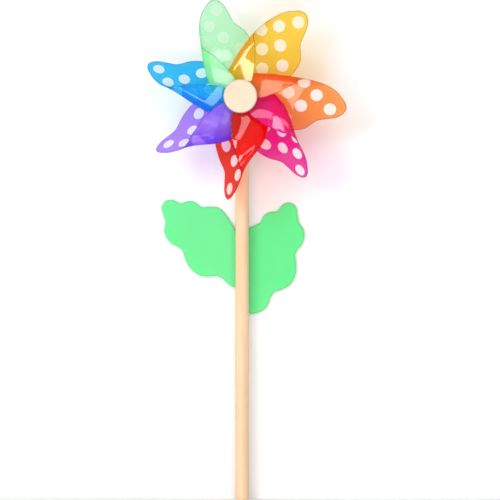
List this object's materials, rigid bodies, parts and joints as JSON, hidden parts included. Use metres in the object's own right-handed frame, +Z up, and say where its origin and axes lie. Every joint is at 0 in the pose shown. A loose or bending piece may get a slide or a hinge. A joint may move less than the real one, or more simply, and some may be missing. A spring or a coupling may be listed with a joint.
{
  "type": "pinwheel",
  "caption": "Toy pinwheel: folded translucent plastic petals that spin on a pin at the top of a wooden stick, with scalloped plastic leaves on the stick.",
  "frame": {"origin": "centre of the stick's bottom face", "axes": "+Z up along the stick, the wheel faces -Y, +X to the right seen from the front"},
  "size_m": [0.1415, 0.0508, 0.3583],
  "materials": {
    "stick_wood": "smooth sanded pale dowel, no varnish",
    "cap_wood": "fine sanded cream wood, softly rounded edge",
    "steel": "drawn wire, plain heads",
    "white_plastic": "moulded, smooth",
    "clear_plastic": "milky extruded tube",
    "leaf_plastic": "translucent die-cut sheet",
    "petal_blue": "thin translucent tinted sheet with white printed dots",
    "petal_green": "thin translucent tinted sheet with white printed dots",
    "petal_yellow": "thin translucent tinted sheet with white printed dots",
    "petal_orange": "thin translucent tinted sheet with white printed dots",
    "petal_pink": "thin translucent tinted sheet with white printed dots",
    "petal_red": "thin translucent tinted sheet with white printed dots",
    "petal_purple": "thin translucent tinted sheet with white printed dots"
  },
  "bodies": {
    "frame": {"stick": "stick_wood", "axle_pin": "steel", "rear_bead": "stick_wood", "rear_washer": "white_plastic", "front_washer": "white_plastic", "front_cap": "cap_wood", "leaf_left": "leaf_plastic", "leaf_right": "leaf_plastic", "leaf_nails": "steel"},
    "wheel": {"hub_tube": "white_plastic", "hub_sleeve": "clear_plastic", "hub_collar": "white_plastic", "petal_blue": "petal_blue", "petal_green": "petal_green", "petal_yellow": "petal_yellow", "petal_orange": "petal_orange", "petal_pink": "petal_pink", "petal_red": "petal_red", "petal_purple": "petal_purple"}
  },
  "joints": [
    {"name": "wheel_spin", "type": "hinge", "parent": "frame", "child": "wheel", "pos_m": [0, -0.021, 0.288], "axis": [0, -1, 0], "continuous": true}
  ]
}
